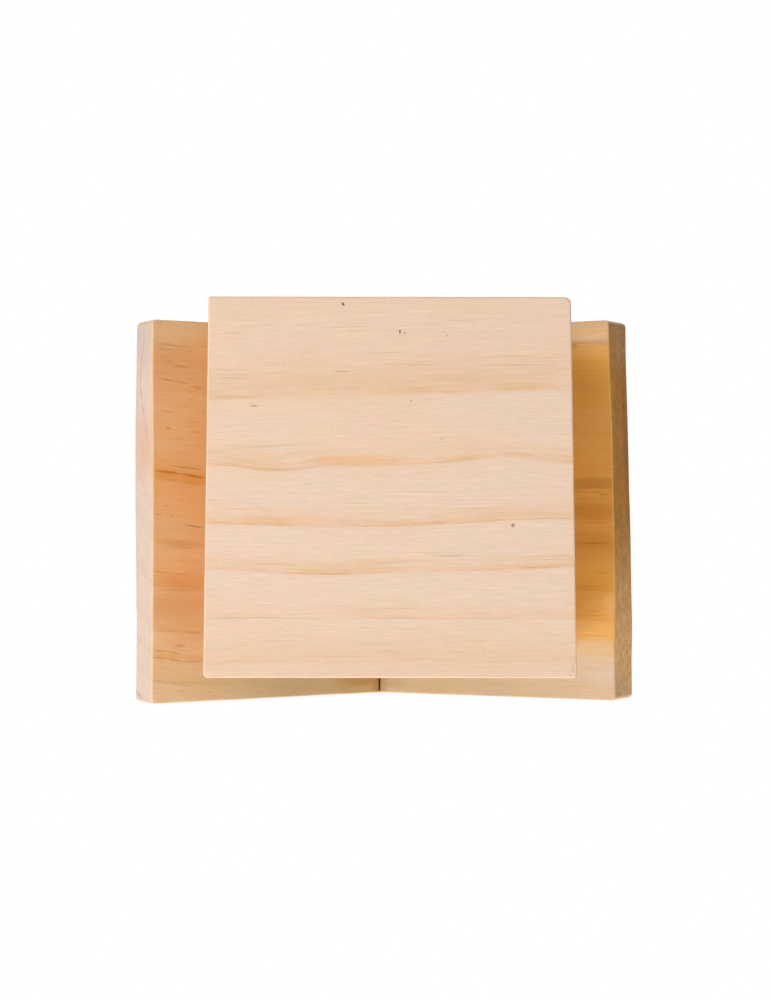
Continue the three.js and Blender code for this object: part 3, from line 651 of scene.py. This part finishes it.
leftRoof = {
    "run": 105.85, "eaveSkew": 3.1, "frontSkew": 1, "arris": 0.9, "radius": 2.2,
    "sawn": [(78, -0.8, 0.3), (64, -0.8, 0.2), (45, -0.4, 0.25), (28, 0.1, 0.55), (0, 0.1, 0.6),
             (-23, 0.1, 0.85), (-50, 0.1, 0.75), (-64, -0.4, 0.8), (-78, -0.8, 0.25),
             (-98, -0.8, 0.05)],
    "seed": 9.4, "pith": (-80, -70), "drift": 0.02,
    "rings": [56, 71, 88, 105.6, 125.7, 142.6, 154.7, 162.8, 175, 188],
    "strengths": [0.5, 0.5, 0.5, 0.5, 0.5, 0.35, 0.3, 0.25, 0.25],
    # the heartwood band's front edge lies at the walls' front plane: its deeper orange under the
    # eave is partly painted shade and warm bounce light, and the paler sapwood in front is partly
    # painted light
    "heart": ((-72, -67), (74.4, 73)),
    "marks": {
        "ac7238": [(106, -67.9, 5.2, 0.39, -1, 0.37), (114.8, -68.5, 4.4, 0.39, -8, 0.37),
            (112.7, 66.9, 8.7, 0.39, -1, 0.28), (112.2, 75.9, 9.2, 0.46, -2, 0.26),
            (106.5, 90, 5.3, 0.43, -7, 0.28)],
        "b07838": [(102.8, -66.6, 1.9, 1.64, -1, 0.5)],
        # b4762c, c07416 and the bands from fbd092 to f2dccc run along the strip under the eave,
        # partly grain and partly light: the paler and yellower bands at the back and just inside
        # the front are painted light reaching in past the walls, the deep orange ones between them
        # are painted shade and warm bounce light from the wall, and the pale ones in front of the
        # walls are painted light on the overhang
        "b4762c": [(111.5, -3.1, 16.5, 3.12, 0, 0.4)],
        "a46a28": [(111.8, -1.1, 9.7, 0.39, 0, 0.31), (117.3, 2.2, 2.6, 0.46, 0, 0.31),
            (112.1, 3.9, 9, 0.36, 0, 0.22), (112.3, 15.2, 8.7, 0.36, 0, 0.21),
            (115.1, 20.5, 4.7, 0.39, 0, 0.25), (112.8, 24.4, 9.2, 0.53, 0, 0.37),
            (117.3, 38.1, 4.5, 0.36, -1, 0.24), (112.5, 44.2, 7.1, 0.39, -1, 0.25),
            (112.5, 55.7, 3.3, 0.72, -1, 0.22)],
        "f4cc8c": [(111.8, -0.2, 9.7, 0.39, 0, 0.4), (112.1, 5.3, 9, 0.39, 0, 0.3)],
        "c07416": [(111.5, 9.9, 16.5, 5.58, 0, 0.4)],
        "ac7030": [(111.7, 57.7, 9.7, 0.39, -1, 0.25)],
        "fbd092": [(111.6, -73, 16.6, 5.43, 2, 0.6)],
        "c8842c": [(111.6, -49.3, 16.6, 14.28, 2, 0.25)],
        "f0ba78": [(111.6, -64.5, 16.6, 3.14, 2, 0.45)],
        "f8c684": [(121.4, 52.3, 4.7, 6.86, -1, 0.6)],
        "f4bc70": [(111.5, -26.3, 16.5, 10.85, 1, 0.35)],
        "f4bc50": [(111.4, 39.1, 16.5, 8.57, -1, 0.3)], "b86e0a": [(111.5, 25, 16.5, 8, 0, 0.22)],
        "f4c27e": [(111.4, 63.5, 16.5, 4.57, -1, 0.4)],
        "e7c69c": [(111.4, 73.2, 16.5, 5.8, -2, 0.85)], "f2dccc": [(111.3, 84, 16.5, 8, -3, 0.25)],
        # c8ac84, c4ae88, bb956a and cbb18a darken the front overhang below the floor's edge, most
        # towards the ridge corner: painted shade
        "c8ac84": [(18, 90, 30, 16, 0, 0.35)], "c4ae88": [(24, 90, 34, 15, 0, 0.3)],
        "bb956a": [(0, 94, 5, 10, 0, 0.85), (5, 92, 11, 4, 0, 0.35)],
        "cbb18a": [(76, 90, 42, 15, 0, 0.62)],
    },
    "heartwood": ("f2b65c", "dd9836", "b06c1e"), "sapwood": ("dec9b2", "d2ae84", "b58252"),
    "warm": "eba84a", "patch": 0.3, "pink": "f0b46c", "dash": 0.12, "dashColor": "b47a34",
    "arrisWearAndSheenColor": "d9a468", "paled": 0.75, "paleWood": "e4bf90",
    # the eave end's colours are far darker than the other roof board's end: painted shade on the
    # end that faces away from the main lamps
    "end": "ae7422", "endLate": "8c5814", "endMottle": 0.22, "endFuzz": 0.12,
    "endMarks": {
        # e0ae74 lightens the front half of the eave end: painted light
        "e0ae74": [(98, 9, 74, 40, 0, 0.97)], "b4987c": [(97, 9.5, 14, 14, 0, 0.4)],
        "8a5018": [(-24.4, 14.9, 38.6, 3.14, 2, 0.5)], "6e4018": [(-32.3, 4.8, 0.8, 0.63, 16, 0.6)],
        # a88660 darkens the eave end near the back: painted shade
        "c08c54": [(-30.9, 2.4, 33.8, 1.14, 1, 0.4)], "a88660": [(-68, 9.5, 15, 14, 0, 0.5)],
    },
}
mitre = {
    "frontGap": 0.26, "backGap": 0.04, "groove": 0.6, "front": 97.5,  # gapes a little in front
    "peak": 181.85,  # sanded flat
}
sideways = Vector((math.cos(pitch), 0, math.sin(pitch)))  # away from the mitre, in a board's frame
upward = Vector((-math.sin(pitch), 0, math.cos(pitch)))
front, back = -mitre["front"], halfDepth
closing = (mitre["backGap"] - mitre["frontGap"]) / 2 / (back - front)
eased = mitre["frontGap"] / 2 + mitre["groove"]
fading = (mitre["backGap"] - eased) / (back - front)
before = -house["roofThickness"] * math.tan(pitch) - 2  # cut off again by the mitre
roofMatrices = {side: frameMatrix(down[side], Vector((0, side, 0)), out[side], ridge)
                for side in sideNames}
for side, board in ((1, rightRoof), (-1, leftRoof)):
    eave, skew = board["run"] / math.cos(pitch), board["eaveSkew"] / 2
    corners = [(before, side * front), (eave + skew, side * (front + board["frontSkew"])),
               (eave - skew, side * back), (before, side * back)]
    radii = [0, board["radius"], board["radius"], 0]
    if side < 0:
        corners.reverse()
    mesh = boardMesh(corners, radii, house["roofThickness"], board["arris"], 11 + side,
                     board["sawn"], side)
    leaning = (Vector((0, side * closing, 0)) - sideways).normalized()
    cutPlane(mesh, sideways * mitre["frontGap"] / 2 + Vector((0, side * front, 0)), leaning)
    cutPlane(mesh, (eased, side * front, 0), Vector((-1, side * fading, -1)).normalized())
    cutPlane(mesh, upward * (mitre["peak"] - house["ridgeZ"]), upward)
    name, matrix = f"pine_roof_{sideNames[side]}", roofMatrices[side]
    screws = [n for n in screwTops if n.startswith(f"roof_screw_{sideNames[side]}")]
    addBoard(name, finished(mesh, name), matrix, screws, board, f"roof_board_{sideNames[side]}")
print("roof boards made")


# Side walls and back panel: x runs up, and the lower face is the inner or front one

body = {
    "wallThickness": 19, "panelThickness": 12, "arris": 0.7, "radius": 0.8,
    "seed": 13.1, "pith": (30, -40), "sway": 7, "fray": 1.1, "drift": 0.03,
    "rings": [28, 37, 49, 58, 72, 80, 91, 99, 112, 126, 140, 160],
    "strengths": [0.7, 0.9, 0.5, 0.8, 0.6, 0.9, 0.45, 0.8, 0.7, 0.9, 0.6],
    "waves": [(60, 24, 46, 17, 4.5), (104, -34, 40, 15, -5), (34, -6, 34, 13, -3.5),
              (120, 56, 38, 14, 4)],
    "heartwood": ("ebc493", "dba666", "b87e44"), "warm": "e6b476", "pink": "ecb98c",
    "hair": 0.035, "dashColor": "b4803f", "arrisWearAndSheen": 0.4, "arrisWearAndSheenColor": "eccb98",
    "end": "d8ae7c", "endLate": "b98550",
    "leftWall": {"seed": 21.3, "pith": (-55, -30)},  # the left wall comes from another plank
    "panel": {"seed": 17.6, "pith": (64, -22)},  # and so does the back panel
}
foot, high = house["floorTop"] + house["seat"], house["ridgeZ"]
upAxis = Vector((0, 0, 1))


def standingBoard(half, thickness, seed, matrix, slopes):  # from the floor to below the roof
    mesh = boardMesh([(foot, -half), (high, -half), (high, half), (foot, half)],
                     [body["radius"]] * 4, thickness, body["arris"], seed)
    for side in slopes:
        under = ridge / mm - out[side] * house["seat"]
        cutPlane(mesh, matrix.inverted() @ (under * mm) / mm,
                 matrix.to_3x3().inverted() @ out[side])
    return mesh


for side, sideName in sideNames.items():
    lowest = min(side * house["inside"], side * house["outside"])
    matrix = frameMatrix(upAxis, Vector((0, -1, 0)), Vector((1, 0, 0)), Vector((lowest, 0, 0)) * mm)
    mesh = standingBoard(halfDepth, body["wallThickness"], 31 + side, matrix, [side])
    screws = [n for n, (_, screwSide, _) in screwTops.items() if screwSide == side]
    look = body if side > 0 else {**body, **body["leftWall"]}
    addBoard(f"pine_wall_{sideName}", finished(mesh, f"pine_wall_{sideName}"), matrix, screws,
             look, f"side_wall_{sideName}")

plate = {"width": 17, "height": 42, "thickness": 1.5, "radius": 4, "middle": 106.21, "entry": 4.6,
         "slot": 2.4, "rise": 9, "drop": 4, "margin": 1, "headRoom": 6.5, "seat": 0.3,
         "cutterTop": 2, "pressedEdge": 0.25}


def keyholeOutline(margin):  # in x and z, about the hanger plate's middle
    entry, slot = plate["entry"] + margin, plate["slot"] + margin
    opening = math.asin(slot / entry)
    points = []
    for radius, start, sweep, steps, up in (
            (entry, math.pi / 2 + opening, 2 * (math.pi - opening), 32, 0),
            (slot, 0, math.pi, 16, plate["rise"])):
        for k in range(steps + 1):
            a = start + sweep * k / steps
            points.append(Vector((radius * math.cos(a), radius * math.sin(a) + up)))
    return [p - Vector((0, plate["drop"])) for p in points]


def plateOutline(margin):
    x, z = plate["width"] / 2 + margin, plate["height"] / 2 + margin
    return roundedOutline([Vector(c) for c in ((-x, -z), (x, -z), (x, z), (-x, z))],
                          [plate["radius"]] * 4)


panelMatrix = frameMatrix(upAxis, Vector((1, 0, 0)), Vector((0, 1, 0)),
                          Vector((0, halfDepth - body["panelThickness"], 0)) * mm)
mesh = standingBoard(house["inside"] - house["seat"], body["panelThickness"], 37, panelMatrix,
                     sideNames)
data = finished(mesh, "pine_back_panel")
deep = plate["thickness"] + plate["seat"]
for outline, depth in ((plateOutline(plate["seat"]), deep),
                       (keyholeOutline(plate["margin"]), plate["headRoom"] + deep)):
    letIn = bmesh.new()
    loftRows(letIn, [[Vector((z + plate["middle"], x, body["panelThickness"] + h)) * mm
                      for x, z in outline] for h in (-depth, plate["cutterTop"])])
    data = carved(data, finished(letIn, "let_in"))
screws = [n for n, (_, screwSide, _) in screwTops.items()
          if screwSide == 0 or "panel" in n or n.startswith("wall_screw")]
addBoard("pine_back_panel", data, panelMatrix, screws, {**body, **body["panel"]}, "back_panel")
print("walls and back panel made")


# Bamboo canes: each is a little out of round, sawn square at the front and open there

cane = {
    "facets": 48, "outOfRound": 0.045, "roughness": 0.012, "chamfer": 0.25, "boreLip": 0.2,
    "endWall": 5, "joint": (9, 5, 2.5),  # where its swelling starts, is full and ends, from behind
    "edge": 0.985, "slim": 0.97, "past": 0.96,  # shares of its width in front, between joints
    "boreFoot": 0.985,  # and just past one, and of the bore's width at its closed end
    "boreMiddle": 0.4, "skinMiddle": 0.55,  # shares of its length, where it has a row of corners
    "boreWobble": 1.3,  # the bore is further out of round than the skin
    "boreShares": [0.48, 0.52, 0.45, 0.55, 0.5, 0.46, 0.53],  # as the solids have them, in turn
    "skin": "dab884", "skinStreak": "bd945c", "skinSpot": "9c7444", "skinTone": (0.82, 1.08),
    "streakScale": (1100, 22, 1100), "streakEdge": (0.42, 0.72),  # streaks 1 wide and 45 long
    "spotScale": 260, "spotEdge": (0.62, 0.72, 0, 0.6),  # blotches about 4 across
    "sawn": "f1d7aa", "fibre": "bd8f56", "rim": "cfae7c", "sawnTone": (0.84, 1.05),
    "rimEdge": (0.8, 1, 0, 0.7),  # the rim's colour comes in over the outer fifth of the wall
    "fibreSpacing": 0.75 * mm,  # bundles in real bamboo stand about this far apart near the skin
    "fibreSize": (0.2, 0.52), "fibreShare": 0.62,
    "sawScale": (2400, 0, 300),  # saw marks 0.4 apart
    "bore": "d9b98a", "boreDark": "a37c4c", "patchScale": (300, 60, 300),  # 3 wide and 17 long
}


def caneMaterials():
    # Dried bamboo: a hard straw-yellow skin with a waxy gloss and long faint streaks
    skin, add = newMaterial("dried_bamboo_skin")
    place = add("TexCoord", output="Object")
    tone = add("Attribute", output="Fac", attribute_name="tone")
    scaled = add("VectorMath", [place, cane["streakScale"]], operation="MULTIPLY")
    streak = add("TexNoise", {"Vector": scaled, "Scale": 1, "Detail": 3})
    streak = add("MapRange", [streak, *cane["streakEdge"]])
    spot = add("TexNoise", {"Vector": place, "Scale": cane["spotScale"], "Detail": 4})
    spot = add("MapRange", [spot, *cane["spotEdge"]])
    color = cane["skin"]
    for share, tint in ((streak, cane["skinStreak"]), (spot, cane["skinSpot"])):
        color = add("Mix", {0: share, 6: color, 7: tint}, 2, data_type="RGBA")
    shade = add("MapRange", [tone, 0, 1, *cane["skinTone"]])
    color = add("VectorMath", {0: color, "Scale": shade}, operation="SCALE")
    bump = add("Bump", {"Height": streak, "Strength": 0.2, "Distance": 0.1 * mm})
    shader = add("BsdfPrincipled", {"Base Color": color, "Roughness": 0.4, "IOR": 1.5,
                                    "Normal": bump})
    add("OutputMaterial", [shader], None)

    # Sawn bamboo: a pale dry ring full of brown fibre ends, larger towards the skin
    sawn, add = newMaterial("sawn_bamboo_end")
    place = add("TexCoord", output="Object")
    tone = add("Attribute", output="Fac", attribute_name="tone")
    ring = add("Attribute", output="Fac", attribute_name="wallShare")
    flat = add("VectorMath", [place, (1, 0, 1)], operation="MULTIPLY")
    bundle = add("TexVoronoi", {"Vector": flat, "Scale": 1 / cane["fibreSpacing"],
                                "Randomness": 0.8}, "Distance")
    size = add("MapRange", [ring, 0, 1, *cane["fibreSize"]])
    dots = add("Math", [bundle, size], operation="LESS_THAN")
    dots = add("Math", [dots, cane["fibreShare"]], operation="MULTIPLY")
    rim = add("MapRange", [ring, *cane["rimEdge"]])
    color = cane["sawn"]
    for share, tint in ((dots, cane["fibre"]), (rim, cane["rim"])):
        color = add("Mix", {0: share, 6: color, 7: tint}, 2, data_type="RGBA")
    shade = add("MapRange", [tone, 0, 1, *cane["sawnTone"]])
    color = add("VectorMath", {0: color, "Scale": shade}, operation="SCALE")
    scaled = add("VectorMath", [place, cane["sawScale"]], operation="MULTIPLY")
    saw = add("TexNoise", {"Vector": scaled, "Scale": 1, "Detail": 2})
    bump = add("Bump", {"Height": saw, "Strength": 0.4, "Distance": 0.12 * mm})
    shader = add("BsdfPrincipled", {"Base Color": color, "Roughness": 0.78, "IOR": 1.5,
                                    "Specular IOR Level": 0.25, "Normal": bump})
    add("OutputMaterial", [shader], None)

    # Bamboo bore: the papery lining of the hollow, matt and browner in patches
    bore, add = newMaterial("bamboo_bore_lining")
    place = add("TexCoord", output="Object")
    scaled = add("VectorMath", [place, cane["patchScale"]], operation="MULTIPLY")
    patch = add("TexNoise", {"Vector": scaled, "Scale": 1, "Detail": 4})
    color = add("Mix", {0: patch, 6: cane["bore"], 7: cane["boreDark"]}, 2, data_type="RGBA")
    shader = add("BsdfPrincipled", {"Base Color": color, "Roughness": 0.8, "IOR": 1.5,
                                    "Specular IOR Level": 0.2})
    add("OutputMaterial", [shader], None)
    return [skin, sawn, bore]


def caneMesh(name, radius, bore, length, seed):  # runs along +Y from its open front, in metres
    chance = random.Random(seed)
    facets = cane["facets"]
    squeeze, lean = cane["outOfRound"] * chance.uniform(0.3, 1), chance.uniform(0, math.pi)
    wander, value = chance.uniform(0, 50), chance.uniform(0, 1)

    def around(size, y, wobble):
        row = []
        for k in range(facets):
            a = 2 * math.pi * k / facets
            oval = 1 - squeeze * wobble * math.sin(a - lean) ** 2
            bumps = noise.noise(Vector((3 * math.cos(a), 3 * math.sin(a), wander)))
            rough = 1 - cane["roughness"] * wobble * (1 + bumps)
            row.append(Vector((size * oval * rough * math.cos(a), y,
                               size * oval * rough * math.sin(a))))
        return row

    chamfer, lip, wall = (cane[part] * mm for part in ("chamfer", "boreLip", "endWall"))
    swells, full, ends = (length - place * mm for place in cane["joint"])
    edge, slim, past = (radius * cane[part] for part in ("edge", "slim", "past"))
    boreMiddle, skinMiddle = length * cane["boreMiddle"], length * cane["skinMiddle"]
    rows = [  # radius, place along the cane, finish of the face before it, share of the wall
        (bore * cane["boreFoot"], length - wall, 2, 0), (bore, boreMiddle, 2, 0),
        (bore, lip, 2, 0), (bore + lip, 0, 1, 0), (edge - chamfer, 0, 1, 1), (edge, chamfer, 0, 1),
        (slim, skinMiddle, 0, 1), (slim, swells, 0, 1), (radius, full, 0, 1), (past, ends, 0, 1),
        (slim, length, 0, 1),
    ]
    mesh = bmesh.new()
    share, tone = (mesh.verts.layers.float.new(layer) for layer in ("wallShare", "tone"))
    grid = []
    for size, y, _, ring in rows:
        wobble = 1 if ring else cane["boreWobble"]
        grid.append([mesh.verts.new(p) for p in around(size, y, wobble)])
        for corner in grid[-1]:
            corner[share], corner[tone] = ring, value
    for (_, _, finish, _), before, after in zip(rows[1:], grid, grid[1:]):
        for k in range(facets):
            j = (k + 1) % facets
            mesh.faces.new((before[k], after[k], after[j], before[j])).material_index = finish
    mesh.faces.new(grid[0]).material_index = 2
    mesh.faces.new(list(reversed(grid[-1]))).material_index = 1
    return finished(mesh, name)


bambooFinishes = caneMaterials()
caneNodes = sorted(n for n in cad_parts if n.startswith("nest_cane"))
for i, node in enumerate(caneNodes):
    low, high = (Vector(c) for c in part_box(node))
    middle, radius = (low + high) / 2, min(high.x - low.x, high.z - low.z) / 2
    bore = radius * cane["boreShares"][i % len(cane["boreShares"])]
    data = caneMesh(f"bamboo_{node}", radius, bore, high.y - low.y, 100 + i)
    addPiece(f"bamboo_{node}", data, bambooFinishes, node,
             Matrix.Translation((middle.x, low.y, middle.z)), 50)
print(len(caneNodes), "canes made")


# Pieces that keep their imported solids: the hanger plate and the hidden dowels

# Turned beech: fine even pinkish wood with short dark flecks, satin
dowel = {"wood": "d8b088", "fleck": "b07f54", "fleckEdge": (0.45, 0.7),
         "fleckScale": (1800, 1800, 350)}  # flecks 0.6 wide and 3 long

beech, add = newMaterial("turned_beech_dowel")
place = add("TexCoord", output="Object")
scaled = add("VectorMath", [place, dowel["fleckScale"]], operation="MULTIPLY")
fleck = add("TexNoise", {"Vector": scaled, "Scale": 1, "Detail": 2})
fleck = add("MapRange", [fleck, *dowel["fleckEdge"]])
color = add("Mix", {0: fleck, 6: dowel["wood"], 7: dowel["fleck"]}, 2, data_type="RGBA")
bump = add("Bump", {"Height": fleck, "Strength": 0.15, "Distance": 0.1 * mm})
shader = add("BsdfPrincipled", {"Base Color": color, "Roughness": 0.5, "IOR": 1.45, "Normal": bump})
add("OutputMaterial", [shader], None)
for name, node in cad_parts.items():
    if name == "hanger_plate" or name.startswith("dowel"):
        node.material_slots[0].material = zincSteel if name == "hanger_plate" else beech
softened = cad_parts["hanger_plate"].modifiers.new("pressed_edge", "BEVEL")
softened.width, softened.segments = plate["pressedEdge"] * mm, 2
softened.limit_method, softened.angle_limit = "ANGLE", math.radians(50)
print("hanger plate and dowels finished")


# Studio: pale paper floor, soft lamps, and a white surround that only the camera sees as white

studio = {  # in metres
    "paper": "f3f0ea", "paperSize": 6, "surround": 0.35, "fadeFrom": 0.3, "fadeTo": 1.5,
    "aim": (0, 0, 0.08),  # the point that every lamp faces
    "lamps": {  # name: (watts, size, place)
        "right_front_softbox": (11.6, 0.75, (0.93, -0.93, -0.4)),
        "right_back_softbox": (7.6, 0.75, (0.93, 0.93, -0.4)),
        "left_softbox": (3.1, 0.6, (-1.08, -0.75, -0.3)),
        "front_softbox": (2.8, 0.9, (0, -0.99, -0.91)),
        "lower_softbox": (4.8, 0.9, (0, 0, -1.32)),
        "top_softbox": (26, 2.4, (0, 0, 2.4)),
        "high_front_softbox": (12, 0.9, (-0.5, -1.7, 0.8)),
    },
}
white = (1, 1, 1, 1)


def seenDirectly(add):  # 1 for camera, mirror and glass rays, 0 for light and shadow rays
    rays = add("LightPath", output=None).outputs
    seen = rays["Is Camera Ray"]
    for kind in ("Is Glossy Ray", "Is Transmission Ray"):
        seen = add("Math", [seen, rays[kind]], operation="ADD", use_clamp=True)
    return seen


paper, add = newMaterial("studio_paper")  # matt paper, seen from above only, never from below
backFace = add("NewGeometry", output="Backfacing")
upperFace = add("Math", [1, backFace], operation="SUBTRACT")
shown = add("Math", [seenDirectly(add), upperFace], operation="MULTIPLY")
matt = add("BsdfDiffuse", {"Color": studio["paper"]})
glow = add("Emission", {"Color": white, "Strength": 1})
fromHouse = add("VectorMath", [add("TexCoord", output="Object")], "Value", operation="LENGTH")
fade = add("MapRange", [fromHouse, studio["fadeFrom"], studio["fadeTo"]],
           interpolation_type="SMOOTHSTEP")
matt = add("MixShader", [fade, matt, glow])
clear = add("BsdfTransparent")
surface = add("MixShader", [shown, clear, matt])
add("OutputMaterial", [surface], None)
bpy.ops.mesh.primitive_plane_add(size=studio["paperSize"], location=(0, 0, -0.5 * mm))
sheet = bpy.context.object
sheet.name = "studio_floor"
sheet.data.materials.append(paper)

scene = bpy.context.scene
scene.world = bpy.data.worlds.new("studio")
scene.world.use_nodes = True
scene.world.node_tree.nodes.clear()
add = partial(addNode, scene.world.node_tree)
soft = add("Background", {"Color": white, "Strength": studio["surround"]})
plain = add("Background", {"Color": white, "Strength": 1})
surface = add("MixShader", [seenDirectly(add), soft, plain])
add("OutputWorld", [surface], None)

for name, (watts, size, spot) in studio["lamps"].items():
    light = bpy.data.lights.new(name, "AREA")
    light.shape, light.size, light.energy = "SQUARE", size, watts
    lamp = bpy.data.objects.new(name, light)
    scene.collection.objects.link(lamp)
    lamp.visible_camera = False
    lamp.location = spot
    facing = Vector(studio["aim"]) - Vector(spot)
    lamp.rotation_euler = facing.to_track_quat("-Z", "Y").to_euler()

photoCamera = {  # looks straight up at the underside, a little off square
    "focalPixels": 2100.26, "imageHeight": 1000, "place": (24.73, -12.52, -859.86),
    "turn": (-0.4762, -1.5137, 0.0541),  # about X, Y and Z
    "nearest": 0.05, "farthest": 20,  # in metres
}
lens = bpy.data.cameras.new("camera")
lens.sensor_width = 36
lens.lens = photoCamera["focalPixels"] / photoCamera["imageHeight"] * lens.sensor_width
lens.clip_start, lens.clip_end = photoCamera["nearest"], photoCamera["farthest"]
camera = bpy.data.objects.new("camera", lens)
scene.collection.objects.link(camera)
turnX, turnY, turnZ = (Matrix.Rotation(math.radians(turn), 3, axis)
                       for axis, turn in zip("XYZ", photoCamera["turn"]))
turned = turnZ @ turnY @ turnX
camera.matrix_world = frameMatrix(turned @ Vector((-1, 0, 0)), turned @ Vector((0, 1, 0)),
                                  turned @ Vector((0, 0, -1)), Vector(photoCamera["place"]) * mm)
scene.camera = camera
scene.view_settings.view_transform = "Standard"
print("studio and camera set")
